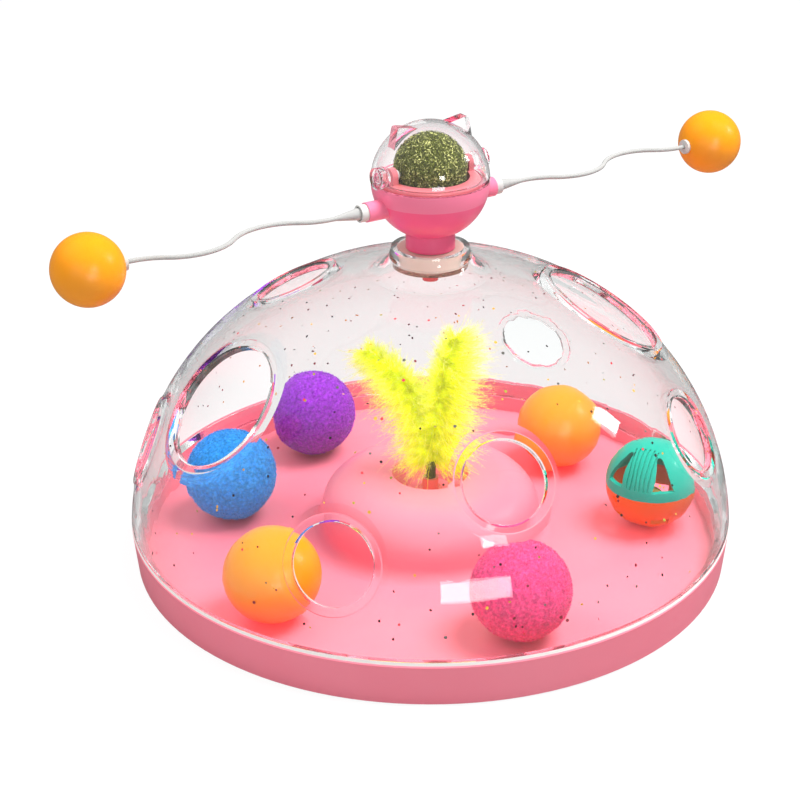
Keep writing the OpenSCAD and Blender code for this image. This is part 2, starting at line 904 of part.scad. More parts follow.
module orange_ball_back()
    color("orange") on_track(ORANGE_BACK, ball_r) hollow_ball(ball_r, ball_wall);

module purple_plush_ball()
    color("darkorchid") on_track(PURPLE, plush_r) sphere(r = plush_r);

module blue_plush_ball()
    color("dodgerblue") on_track(BLUE, plush_r) sphere(r = plush_r);

module magenta_plush_ball()
    color("mediumvioletred") on_track(MAGENTA, plush_r) sphere(r = plush_r);

// Arched window that points outwards along X, with its sill on the band's top
module window() {
    top_w = window_w / 3;
    rotate([90, 0, 90]) linear_extrude(rattle_d) {
        polygon([
            [-window_w / 2, rattle_band_h],
            [window_w / 2, rattle_band_h],
            [top_w / 2, rattle_band_h + window_h - top_w / 2],
            [-top_w / 2, rattle_band_h + window_h - top_w / 2]
        ]);
        translate([0, rattle_band_h + window_h - top_w / 2]) circle(d = top_w);
    }
}

// Upright grooves cut into the outside of a panel that faces along X, which stop short of the ball's top
module grooves() {
    groove_start = rattle_r * 0.3;
    intersection() {
        for (i = [0 : groove_count - 1]) {
            across = (i - (groove_count - 1) / 2) * groove_pitch - groove_w / 2;
            translate([groove_start, across, rattle_band_h]) cube([rattle_d, groove_w, rattle_r]);
        }
        hollow_ball(rattle_d, rattle_d - rattle_r + groove_depth);
    }
}

module rattle_upper() {
    color("mediumturquoise") on_track(RATTLE, rattle_r) rotate([0, 0, rattle_turn]) difference() {
        intersection() {
            hollow_ball(rattle_r, rattle_wall);
            rod(rattle_d, 0, rattle_d);
        }
        for (i = [0 : window_count - 1]) {
            rotate([0, 0, i * 360 / window_count]) window();
            if (i % 2 == 1) rotate([0, 0, (i + 0.5) * 360 / window_count]) grooves();
        }
    }
}

module rattle_lower() {
    color("orangered") on_track(RATTLE, rattle_r) rotate([0, 0, rattle_turn]) difference() {
        intersection() {
            hollow_ball(rattle_r, rattle_wall);
            rod(rattle_d, -rattle_d, 0);
        }
        for (i = [0 : window_count - 1])
            rotate([0, slot_drop, i * 360 / window_count])
                translate([0, -slot_w / 2, -slot_h / 2]) cube([rattle_d, slot_w, slot_h]);
    }
}

module jingle_bell() {
    color("goldenrod") on_track(RATTLE, rattle_r) translate([0, 0, -bell_drop]) difference() {
        hollow_ball(bell_r, bell_wall);
        for (turn = [0, 90])
            rotate([0, 0, turn]) translate([-bell_slit / 2, -bell_r, 0]) cube([bell_slit, bell_d, bell_d]);
    }
}

module bell_pellet()
    color("gray") on_track(RATTLE, rattle_r) translate([0, 0, -bell_drop - pellet_drop])
        sphere(r = pellet_r);

base_tray();
anti_slip_pads();
feather_socket();
feather_quill();
plume_left();
plume_right();
clear_dome();
bearing_bush();
pod_bowl();
arm_ring();
spindle_washer();
spindle_screw();
catnip_holder();
catnip_axle();
catnip_ball();
clear_cover();
left_collar();
left_boot();
left_wire();
left_ferrule();
left_end_ball();
right_collar();
right_boot();
right_wire();
right_ferrule();
right_end_ball();
orange_ball_front();
orange_ball_back();
purple_plush_ball();
blue_plush_ball();
magenta_plush_ball();
rattle_upper();
rattle_lower();
jingle_bell();
bell_pellet();
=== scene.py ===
"""Looks of the cat turntable toy: plush, feather, catnip, clear plastic and studio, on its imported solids."""
import math

import bmesh
import bpy
import numpy as np
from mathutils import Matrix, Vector


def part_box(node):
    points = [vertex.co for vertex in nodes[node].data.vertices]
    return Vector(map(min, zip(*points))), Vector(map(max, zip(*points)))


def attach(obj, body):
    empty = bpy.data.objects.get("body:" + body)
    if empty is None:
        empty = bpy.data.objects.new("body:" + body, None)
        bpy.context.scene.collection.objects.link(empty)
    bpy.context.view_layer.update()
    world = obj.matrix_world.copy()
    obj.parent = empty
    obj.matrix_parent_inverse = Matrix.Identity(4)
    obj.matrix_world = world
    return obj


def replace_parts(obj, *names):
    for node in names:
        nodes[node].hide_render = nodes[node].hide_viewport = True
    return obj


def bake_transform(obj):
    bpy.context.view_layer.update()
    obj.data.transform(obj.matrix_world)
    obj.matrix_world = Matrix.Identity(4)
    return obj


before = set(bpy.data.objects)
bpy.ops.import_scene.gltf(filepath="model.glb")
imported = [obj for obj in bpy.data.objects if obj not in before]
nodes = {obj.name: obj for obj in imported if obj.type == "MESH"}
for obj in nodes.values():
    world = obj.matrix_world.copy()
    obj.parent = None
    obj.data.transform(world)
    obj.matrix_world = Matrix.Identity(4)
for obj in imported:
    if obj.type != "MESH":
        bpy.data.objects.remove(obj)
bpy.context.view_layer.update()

# Shapes are worked out in millimetres, and build() turns them into metres
MM = 0.001

# What the lamps look at, in metres
TOY_MIDDLE = (0, 0, 0.08)

# The dome: one arc turned about the axis
DOME_ARC = 122.0
DOME_SPRING = 8.7
DOME_SHIFT = 11.479
NECK_R = 27.0

# A painted highlight along the dome's foot, on its outer face: its radius and its top
FOOT_HIGHLIGHT_R = 131.5
FOOT_HIGHLIGHT_TOP = 21.0

# Glitter flakes in the dome's wall: their corners, and the lowest place they have on the arc
FLAKE_SIDES = 6
FLAKES_FROM = math.radians(9)

# Paw holes: azimuth, elevation, radius with the lip
PAW_HOLES = np.array([
    [-107, 38, 20.2], [178.5, 43, 30.7], [-51.5, 31, 20.2], [-28, 58, 30.7],
    [135, 66, 20.2], [33, 19, 20.2], [-140, 22.5, 20.2], [152.5, 22, 20.2],
])

# The pod's middle, and the ball that the clear cover is a half of
POD_Z = 169.304
COVER_R = 24.7
EARS_FROM = POD_Z + 10.0

# The arms: where the wire bends, and how it is waved
FLEX_X = 34.4
ARM_Z = POD_Z - 8.6
BOOT_LEN = 11.0
BOOT_R = 2.6
WIRE_R = 0.95
WIRE_LEAD = 2.0
FERRULE_X = 135.65
WAVE_BEND = math.radians(32)
WIRE_SIDES = 20
ARC_STEPS = 40

# The feather: the way its fan faces, the quill's top, the stems' way into it, and the share of outer barbs
FAN_TURN = math.radians(-32)
QUILL_TOP = 38.5
QUILL_OVERLAP = 3.0
OUTER_BARBS = 0.62

# The tray's floor, and how far strands that lie on it stay over it
TRAY_FLOOR = 5.0
FLOOR_GAP = 0.05


def solid_ball(node):
    """Middle and radius of a ball-shaped solid, from its box."""
    low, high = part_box(node)
    return np.array(low + high) / 2 / MM, (high.z - low.z) / 2 / MM


def grid_faces(rows, cols):
    """Corner numbers of the quads of a grid whose rows run round and are joined to their start."""
    r, c = np.meshgrid(np.arange(rows - 1), np.arange(cols), indexing="ij")
    c_next = (c + 1) % cols
    corners = [r * cols + c, r * cols + c_next, (r + 1) * cols + c_next, (r + 1) * cols + c]
    return np.stack(corners, -1).reshape(-1, 4)


def build(name, points, faces, material, tint=None, smooth=True):
    """One piece from points in millimetres and an array of face corners; its points may carry a tint."""
    mesh = bpy.data.meshes.new(name)
    mesh.vertices.add(len(points))
    mesh.vertices.foreach_set("co", (points * MM).astype(np.float32).ravel())
    mesh.loops.add(faces.size)
    mesh.loops.foreach_set("vertex_index", faces.astype(np.int32).ravel())
    mesh.polygons.add(len(faces))
    mesh.polygons.foreach_set("loop_start", np.arange(0, faces.size, faces.shape[1], dtype=np.int32))
    mesh.update(calc_edges=True)
    mesh.polygons.foreach_set("use_smooth", np.full(len(faces), smooth))
    if tint is not None:
        shades = mesh.attributes.new("tint", "FLOAT", "POINT")
        shades.data.foreach_set("value", tint.astype(np.float32).ravel())
    mesh.materials.append(material)
    piece = bpy.data.objects.new(name, mesh)
    bpy.context.scene.collection.objects.link(piece)
    return piece


def close_poles(piece):
    """Joins the points that fall together at a pole or a seam."""
    work = bmesh.new()
    work.from_mesh(piece.data)
    bmesh.ops.remove_doubles(work, verts=work.verts, dist=1e-7)
    bmesh.ops.dissolve_degenerate(work, edges=work.edges, dist=1e-8)
    bmesh.ops.recalc_face_normals(work, faces=work.faces)
    work.to_mesh(piece.data)
    work.free()
    piece.data.polygons.foreach_set("use_smooth", np.full(len(piece.data.polygons), True))
    return piece


def round_grid(rows, cols):
    """Unit directions on a grid of latitudes from pole to pole and longitudes round."""
    lat = np.linspace(-math.pi / 2, math.pi / 2, rows)[:, None]
    lon = np.linspace(0, 2 * math.pi, cols, endpoint=False)[None, :]
    return np.stack([np.cos(lat) * np.cos(lon), np.cos(lat) * np.sin(lon), np.sin(lat) + 0 * lon], -1)


def even_directions(count):
    """Unit directions spread evenly over a ball: a spiral that turns by the golden angle."""
    i = np.arange(count) + 0.5
    z = 1 - 2 * i / count
    turn = i * math.pi * (3 - math.sqrt(5))
    return np.stack([np.sqrt(1 - z * z) * np.cos(turn), np.sqrt(1 - z * z) * np.sin(turn), z], -1)


def unit(v):
    """Vectors brought to length one."""
    return v / np.maximum(np.linalg.norm(v, axis=-1, keepdims=True), 1e-9)


def ripple(points, size, seed, waves=24):
    """Smooth noise from -1 to 1: the mean of sine waves in seeded directions, of about that size in mm."""
    rng = np.random.default_rng(seed)
    k = unit(rng.normal(size=(waves, 3))) * (2 * math.pi / size) * rng.uniform(0.6, 1.5, (waves, 1))
    phase = rng.uniform(0, 2 * math.pi, waves)
    return np.sin(points @ k.T + phase).mean(-1) * 2.2


def blades(path, half_width, across):
    """Flat strands: each one's path of points, widened to both sides by its half width along across."""
    left = path - across * half_width[..., None]
    right = path + across * half_width[..., None]
    count, stations = path.shape[:2]
    points = np.stack([left, right], 2).reshape(-1, 3)
    start = (np.arange(count) * stations * 2)[:, None] + np.arange(stations - 1)[None, :] * 2
    faces = np.stack([start, start + 1, start + 3, start + 2], -1).reshape(-1, 4)
    return points, faces


def put(tree, kind, inputs=None, **options):
    """One node of a material, with its options, its plain values and its links."""
    node = tree.nodes.new(kind)
    for key, value in options.items():
        setattr(node, key, value)
    for key, value in (inputs or {}).items():
        if isinstance(value, bpy.types.NodeSocket):
            tree.links.new(value, node.inputs[key])
        else:
            node.inputs[key].default_value = value
    return node


def calc(tree, operation, first, second, **options):
    """The result of one sum on two values."""
    return put(tree, "ShaderNodeMath", {0: first, 1: second}, operation=operation, **options).outputs["Value"]


def spread(tree, value, low, high, to_low=0.0, to_high=1.0):
    """A value's range brought to another range."""
    return put(tree, "ShaderNodeMapRange", {
        "Value": value, "From Min": low, "From Max": high, "To Min": to_low, "To Max": to_high,
    }).outputs["Result"]


def noise(tree, place, scale, detail, roughness=0.5):
    """Cloudy noise of so many clouds per metre."""
    return put(tree, "ShaderNodeTexNoise", {
        "Vector": place, "Scale": scale, "Detail": detail, "Roughness": roughness,
    }).outputs["Fac"]


def mix_colour(tree, factor, first, second, **options):
    """A colour between two colours, which a mix of colours has in its sockets 6, 7 and 2."""
    node = put(tree, "ShaderNodeMix", {"Factor": factor, 6: first, 7: second}, data_type="RGBA", **options)
    return node.outputs[2]


def mix_surface(tree, factor, first, second):
    """A surface between two surfaces."""
    return put(tree, "ShaderNodeMixShader", {0: factor, 1: first, 2: second}).outputs["Shader"]


def new_group(name, inputs, outputs):
    """An empty shader group with named sockets, and its two ends."""
    tree = bpy.data.node_groups.new(name, "ShaderNodeTree")
    for label, kind, value in inputs:
        socket = tree.interface.new_socket(label, in_out="INPUT", socket_type=kind)
        socket.default_value = value
    for label, kind in outputs:
        tree.interface.new_socket(label, in_out="OUTPUT", socket_type=kind)
    return tree, tree.nodes.new("NodeGroupInput").outputs, tree.nodes.new("NodeGroupOutput").inputs


def moulded_skin_group():
    """Moulded plastic: clouds of a second shade, hazy and clear patches of gloss, and a fine orange peel."""
    tree, given, out = new_group(
        "moulded_skin",
        [
            ("Place", "NodeSocketVector", (0, 0, 0)),
            ("Colour", "NodeSocketColor", (1, 1, 1, 1)),
            ("Shade", "NodeSocketColor", (1, 1, 1, 1)),
            ("Clouds per metre", "NodeSocketFloat", 18.0),
            ("Gloss low", "NodeSocketFloat", 0.2),
            ("Gloss high", "NodeSocketFloat", 0.35),
        ],
        [("Colour", "NodeSocketColor"), ("Roughness", "NodeSocketFloat"), ("Height", "NodeSocketFloat")],
    )
    cloud = noise(tree, given["Place"], given["Clouds per metre"], 3.0, 0.55)
    colour = mix_colour(tree, spread(tree, cloud, 0.35, 0.7), given["Colour"], given["Shade"])
    haze = noise(tree, given["Place"], 95.0, 5.0, 0.6)
    gloss = spread(tree, haze, 0.3, 0.7, given["Gloss low"], given["Gloss high"])
    peel = noise(tree, given["Place"], 700.0, 2.0)
    tree.links.new(colour, out["Colour"])
    tree.links.new(gloss, out["Roughness"])
    tree.links.new(peel, out["Height"])
    return tree


def hairline_group():
    """Fine handling scratches: thin bright threads of a noise that is stretched along one direction."""
    tree, given, out = new_group(
        "hairlines",
        [("Place", "NodeSocketVector", (0, 0, 0)), ("Amount", "NodeSocketFloat", 0.3)],
        [("Mask", "NodeSocketFloat")],
    )
    stretch = put(tree, "ShaderNodeMapping", {
        "Vector": given["Place"], "Rotation": (0.3, 0.2, 0.7), "Scale": (30, 420, 240),
    })
    threads = noise(tree, stretch.outputs["Vector"], 1.0, 4.0)
    tree.links.new(spread(tree, threads, 0.63, 0.72, 0.0, given["Amount"]), out["Mask"])
    return tree


MOULDED_SKIN = moulded_skin_group()
HAIRLINES = hairline_group()


def new_material(name):
    """A material with only its output, its Principled BSDF and its Object coordinates."""
    material = bpy.data.materials.new(name)
    material.use_nodes = True
    tree = material.node_tree
    tree.nodes.clear()
    shader = put(tree, "ShaderNodeBsdfPrincipled")
    out = put(tree, "ShaderNodeOutputMaterial", {"Surface": shader.outputs["BSDF"]})
    place = put(tree, "ShaderNodeTexCoord").outputs["Object"]
    return material, tree, shader, out, place


def srgb(r, g, b):
    """A colour as it is seen, from 0 to 255, as the linear colour that the shader reads."""
    c = np.array([r, g, b]) / 255
    linear = np.where(c <= 0.04045, c / 12.92, ((c + 0.055) / 1.055) ** 2.4)
    return (*linear.tolist(), 1.0)


def plastic(name, colour, shade, gloss=(0.18, 0.32), coat=0.4, glow=0.0, mirror=0.5, passes=None):
    """Moulded plastic in two near shades, with faint hairlines in its gloss. A thin wall passes some light,
    in a colour of its own, so its shadow isn't black."""
    material, tree, shader, out, place = new_material(name)
    skin = put(tree, "ShaderNodeGroup", node_tree=MOULDED_SKIN)
    settings = {"Colour": colour, "Shade": shade, "Gloss low": gloss[0], "Gloss high": gloss[1]}
    for label, value in settings.items():
        skin.inputs[label].default_value = value
    lines = put(tree, "ShaderNodeGroup", node_tree=HAIRLINES)
    lines.inputs["Amount"].default_value = 0.12
    for group in (skin, lines):
        tree.links.new(place, group.inputs["Place"])
    rough = calc(tree, "ADD", skin.outputs["Roughness"], lines.outputs["Mask"])
    bump = put(tree, "ShaderNodeBump", {
        "Height": skin.outputs["Height"], "Strength": 0.02, "Distance": 0.0006,
    })
    tree.links.new(skin.outputs["Colour"], shader.inputs["Base Color"])
    tree.links.new(rough, shader.inputs["Roughness"])
    tree.links.new(bump.outputs["Normal"], shader.inputs["Normal"])
    shader.inputs["Specular IOR Level"].default_value = mirror
    shader.inputs["Coat Weight"].default_value = coat
    shader.inputs["Coat Roughness"].default_value = 0.06
    shader.inputs["Subsurface Weight"].default_value = glow
    shader.inputs["Subsurface Radius"].default_value = (0.006, 0.003, 0.002)
    if passes:
        through = put(tree, "ShaderNodeBsdfTransparent", {"Color": passes}).outputs["BSDF"]
        shadow = put(tree, "ShaderNodeLightPath").outputs["Is Shadow Ray"]
        tree.links.new(mix_surface(tree, shadow, shader.outputs["BSDF"], through), out.inputs["Surface"])
    return material


def rim_reflection_mask(tree, place, middle, radius, lowest):
    """One on rims that stand outside a ball and above a height, and face more along X or Z than along Y: where
    the painted reflection goes.
    """
    face_most = 0.8
    far = put(tree, "ShaderNodeVectorMath", {0: place, 1: middle}, operation="DISTANCE").outputs["Value"]
    height = put(tree, "ShaderNodeSeparateXYZ", {0: place}).outputs["Z"]
    way = put(tree, "ShaderNodeSeparateXYZ", {0: put(tree, "ShaderNodeTexCoord").outputs["Normal"]})
    along_y = put(tree, "ShaderNodeMath", {0: way.outputs["Y"]}, operation="ABSOLUTE").outputs["Value"]
    beyond = calc(tree, "GREATER_THAN", far, radius)
    upper = calc(tree, "MULTIPLY", beyond, calc(tree, "GREATER_THAN", height, lowest))
    return calc(tree, "MULTIPLY", upper, calc(tree, "LESS_THAN", along_y, face_most))


def foot_highlight_mask(tree, place, reach, top):
    """One on the outer side of what stands beyond a radius from the axis and below a height: where the painted
    highlight along the dome's foot goes.
    """
    flat = put(tree, "ShaderNodeVectorMath", {0: place, 1: (1, 1, 0)}, operation="MULTIPLY").outputs["Vector"]
    away = put(tree, "ShaderNodeVectorMath", {0: flat}, operation="LENGTH").outputs["Value"]
    height = put(tree, "ShaderNodeSeparateXYZ", {0: place}).outputs["Z"]
    low = calc(tree, "LESS_THAN", height, top)
    outer = calc(tree, "GREATER_THAN", away, reach)
    facing = calc(tree, "SUBTRACT", 1.0, put(tree, "ShaderNodeNewGeometry").outputs["Backfacing"])
    return calc(tree, "MULTIPLY", facing, calc(tree, "MULTIPLY", low, outer))


def clear_plastic(name, tint, edge, rim_reflection=None, foot_highlight=None):
    """Clear plastic with a faint haze, darker where it is looked through at a slant and so is thicker.
    What stands outside a ball, given by middle, radius, lowest height and colour, has that colour on its rim:
    a painted reflection. A foot highlight, given by its radius, top and colour, is matt white outside: a
    painted highlight along the foot. Light for the pieces behind the plastic goes straight through, and so
    does a look that has already been bent or mirrored in it many times, which would otherwise end in black."""
    bent_most, mirrored_most = 7.5, 3.5
    material, tree, shader, out, place = new_material(name)
    slant = put(tree, "ShaderNodeLayerWeight", {"Blend": 0.5}).outputs["Facing"]
    colour = mix_colour(tree, spread(tree, slant, 0.4, 0.95), tint, edge)
    # Painted reflection: rims outside the ball take a pink that stands in for the pink parts mirrored in them
    if rim_reflection:
        *ball, reflection_colour = rim_reflection
        colour = mix_colour(tree, rim_reflection_mask(tree, place, *ball), colour, reflection_colour)
    tree.links.new(colour, shader.inputs["Base Color"])
    haze = noise(tree, place, 40.0, 3.0)
    tree.links.new(spread(tree, haze, 0.4, 0.7, 0.0, 0.03), shader.inputs["Roughness"])
    shader.inputs["Transmission Weight"].default_value = 1.0
    shader.inputs["IOR"].default_value = 1.3
    shader.inputs["Coat Weight"].default_value = 0.3
    shader.inputs["Coat Roughness"].default_value = 0.02
    surface = shader.outputs["BSDF"]
    # Painted highlight: the foot's outer face is mixed to matt white
    if foot_highlight:
        reach, top, highlight_white = foot_highlight
        painted_highlight = put(tree, "ShaderNodeBsdfDiffuse", {"Color": highlight_white}).outputs["BSDF"]
        surface = mix_surface(tree, foot_highlight_mask(tree, place, reach, top), surface, painted_highlight)
    through = put(tree, "ShaderNodeBsdfTransparent", {"Color": (0.985, 0.985, 0.985, 1)}).outputs["BSDF"]
    path = put(tree, "ShaderNodeLightPath").outputs
    light = calc(tree, "MAXIMUM", path["Is Shadow Ray"], path["Is Diffuse Ray"])
    bent = calc(tree, "GREATER_THAN", path["Transmission Depth"], bent_most)
    mirrored = calc(tree, "GREATER_THAN", path["Glossy Depth"], mirrored_most)
    straight = calc(tree, "MAXIMUM", light, calc(tree, "MAXIMUM", bent, mirrored))
    tree.links.new(mix_surface(tree, straight, surface, through), out.inputs["Surface"])
    return material


def tinted_fibre(name, tones, sheen, through=0.0, painted_glow=0.0, specks=260.0, uneven=(0.8, 1.15)):
    """Fibre whose colour runs through three tones from root to tip, by the piece's own tint, with specks of
    so many per metre. A share of the light goes through it, and a painted glow, an emission of its own colour,
    adds a little light."""
    deep, middle, light = tones
    material, tree, shader, out, place = new_material(name)
    tint = put(tree, "ShaderNodeAttribute", attribute_name="tint", attribute_type="GEOMETRY")
    tone = put(tree, "ShaderNodeValToRGB", {"Fac": tint.outputs["Fac"]})
    tone.color_ramp.elements[0].color = deep
    tone.color_ramp.elements[1].color = light
    tone.color_ramp.elements.new(0.5).color = middle
    shading = spread(tree, noise(tree, place, specks, 2.0), 0.3, 0.7, *uneven)
    colour = mix_colour(tree, 1.0, tone.outputs["Color"], shading, blend_type="MULTIPLY")
    tree.links.new(colour, shader.inputs["Base Color"])
    # Painted glow: the fibre also emits its own colour, so it is brighter than the lamps make it
    tree.links.new(colour, shader.inputs["Emission Color"])
    shader.inputs["Emission Strength"].default_value = painted_glow
    shader.inputs["Roughness"].default_value = 0.85
    shader.inputs["Specular IOR Level"].default_value = 0.2
    shader.inputs["Sheen Weight"].default_value = sheen
    shader.inputs["Sheen Roughness"].default_value = 0.4
    if through:
        behind = put(tree, "ShaderNodeBsdfTranslucent", {"Color": colour}).outputs["BSDF"]
        tree.links.new(mix_surface(tree, through, shader.outputs["BSDF"], behind), out.inputs["Surface"])
    return material


def plush_ball(node, body, material, seed, strands=30000):
    """A felted ball: an even core roughened by two sizes of ripple, and short strands that lie on it in every
    direction and narrow to their tips. A strand is a path root + length (t way + t^2 bend)."""
    centre, radius = solid_ball(node)
    rng = np.random.default_rng(seed)
    nap = 0.55
    core_r = radius - nap
    rows, cols = 110, 170
    core_way = round_grid(rows, cols).reshape(-1, 3)
    rough = 0.08 * ripple(core_way * core_r, 1.6, seed) + 0.05 * ripple(core_way * core_r, 5.0, seed + 1)
    core = core_way * (core_r + rough)[:, None]
    way = even_directions(strands)
    lean = unit(way + 0.9 * rng.normal(size=way.shape))
    length = nap * rng.uniform(0.6, 1.5, (strands, 1))
    along = np.array([0, 0.55, 1.0])[None, :, None]
    bend = 0.3 * rng.normal(size=(strands, 1, 3))
    path = (way * core_r)[:, None, :] + length[:, None, :] * (along * lean[:, None, :] + along ** 2 * bend)
    width = np.broadcast_to(np.array([0.1, 0.08, 0.03]), (strands, 3))
    across = unit(np.cross(lean, way + 0.4 * rng.normal(size=lean.shape)))
    points, faces = blades(path, width, np.broadcast_to(across[:, None, :], path.shape))
    # Painted shade and light: the core is darker in its dips and lighter on its bumps, and each strand runs
    # from a darker root to a lighter tip, with a random tone of its own
    up_strand = np.array([0.0, 0.5, 1.0])[None, :]
    root_to_tip_shade = 0.45 + 0.3 * up_strand + 0.2 * rng.normal(size=(strands, 1))
    tint = np.concatenate([0.45 + 2.0 * rough, np.repeat(root_to_tip_shade.ravel(), 2)])
    points = np.concatenate([core, points]) + centre
    points[:, 2] = np.maximum(points[:, 2], TRAY_FLOOR + FLOOR_GAP)
    faces = np.concatenate([grid_faces(rows, cols), faces + len(core)])
    piece = build(node + "_pile", points, faces, material, tint=np.clip(tint, 0, 1))
    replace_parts(piece, node)
    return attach(piece, body)


def hollow_ball(node, body, material, tilt):
    """A moulded ball: the radius dips a little along a tilted weld seam, by a bell curve of the latitude."""
    centre, radius = solid_ball(node)
    rows, cols = 97, 128
    seam_width, seam_depth = 0.35, 0.06
    way = round_grid(rows, cols)
    seam = np.exp(-(np.arcsin(way[..., 2]) * radius / seam_width) ** 2)
    ball = way * (radius - seam_depth * seam)[..., None]
    turn = np.array([[1, 0, 0], [0, math.cos(tilt), -math.sin(tilt)], [0, math.sin(tilt), math.cos(tilt)]])
    points = ball.reshape(-1, 3) @ turn.T + centre
    piece = build(node + "_shell", points, grid_faces(rows, cols), material)
    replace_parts(close_poles(piece), node)
    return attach(piece, body)


def leaf_ball(node, body, material, seed, flakes=9000):
    """Pressed leaf: a ball roughened by two sizes of ripple, with small leaf flakes lying on it every way."""
    centre, radius = solid_ball(node)
    rng = np.random.default_rng(seed)
    rows, cols = 90, 140
    way = round_grid(rows, cols).reshape(-1, 3)
    core_depth, flake_depth, flake_top = 0.55, 0.35, 0.12
    rough = 0.22 * ripple(way * radius, 3.2, seed) + 0.16 * ripple(way * radius, 1.3, seed + 1)
    core = way * (radius - core_depth + rough)[:, None]
    spot = even_directions(flakes)
    lie = unit(np.cross(spot, rng.normal(size=spot.shape)))
    lie = unit(lie + spot * rng.normal(0, 0.35, (flakes, 1)))
    across = unit(np.cross(spot, lie) + spot * rng.normal(0, 0.35, (flakes, 1)))
    reach = rng.uniform(0.25, 0.7, (flakes, 1, 1))
    along = np.array([-1.0, 0.0, 1.0])[None, :, None]
    lift = radius - flake_depth + 0.22 * rng.normal(size=(flakes, 1))
    path = (spot * lift)[:, None, :] + reach * along * lie[:, None, :]
    width = rng.uniform(0.1, 0.28, (flakes, 1)) * np.array([0.35, 1.0, 0.25])
    points, faces = blades(path, width, np.broadcast_to(across[:, None, :], path.shape))
    far = np.linalg.norm(points, axis=1, keepdims=True)
    points = points * np.minimum(1, (radius + flake_top) / far)
    tint = np.concatenate([0.25 + 0.2 * rough, np.repeat(rng.beta(0.8, 1.1, flakes), 6)])
    faces = np.concatenate([grid_faces(rows, cols), faces + len(core)])
    points = np.concatenate([core, points]) + centre
    piece = build(node + "_leaf", points, faces, material, tint=np.clip(tint, 0, 1))
    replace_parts(piece, node)
    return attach(piece, body)


def arm_wire(side_name, turn, material):
    """The boot and waved wire of one arm: a round profile along four arcs, whose radius tapers over the boot.
    Headings run 0, -a, b, -a, 0 with cos b = 2 cos a - 1, so the wave ends on its own axis."""
    back = math.acos(2 * math.cos(WAVE_BEND) - 1)
    headings = np.array([0, -WAVE_BEND, back, -WAVE_BEND, 0])
    wave_start = FLEX_X + BOOT_LEN + WIRE_LEAD
    span = FERRULE_X - WIRE_LEAD - wave_start
    bend_r = span / (4 * math.sin(WAVE_BEND) + 2 * math.sin(back))
    share = np.linspace(0, 1, ARC_STEPS)[1:]
    arcs = headings[:-1, None] + np.diff(headings)[:, None] * share[None, :]
    way = np.sign(np.diff(headings))[:, None]
    step = way[..., None] * bend_r * np.stack([
        np.sin(arcs) - np.sin(headings[:-1, None]), np.cos(headings[:-1, None]) - np.cos(arcs)], -1)
    starts = np.concatenate([np.zeros((1, 2)), np.cumsum(step[:, -1], 0)[:-1]])
    wave = (starts[:, None] + step).reshape(-1, 2) + [wave_start, 0]
    round_root = FLEX_X - BOOT_R * np.cos(np.linspace(0, math.pi / 2, 10))
    boot_x = np.concatenate([round_root, np.linspace(FLEX_X, wave_start, 16)[1:]])
    end_x = np.array([FERRULE_X, FERRULE_X + 1.0])
    x = np.concatenate([boot_x, wave[:, 0], end_x])
    y = np.concatenate([0 * boot_x, wave[:, 1], 0 * end_x])
    heading = np.concatenate([0 * boot_x, arcs.ravel(), 0 * end_x])
    root = np.sqrt(np.maximum(BOOT_R ** 2 - (x - FLEX_X) ** 2, 0))
    taper = np.maximum(BOOT_R + (WIRE_R - BOOT_R) * (x - FLEX_X) / BOOT_LEN, WIRE_R)
    radius = np.where(x < FLEX_X, root, taper)
    radius[-1] = 0
    round_way = np.linspace(0, 2 * math.pi, WIRE_SIDES, endpoint=False)[None, :]
    points = np.stack([
        x[:, None] - radius[:, None] * np.cos(round_way) * np.sin(heading)[:, None],
        y[:, None] + radius[:, None] * np.cos(round_way) * np.cos(heading)[:, None],
        ARM_Z + radius[:, None] * np.sin(round_way)], -1)
    points = points.reshape(-1, 3) * [turn, turn, 1]
    piece = build(side_name + "_arm_wire", points, grid_faces(len(x), WIRE_SIDES), material)
    close_poles(piece)
    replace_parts(piece, side_name + "_boot", side_name + "_wire")
    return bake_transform(piece)


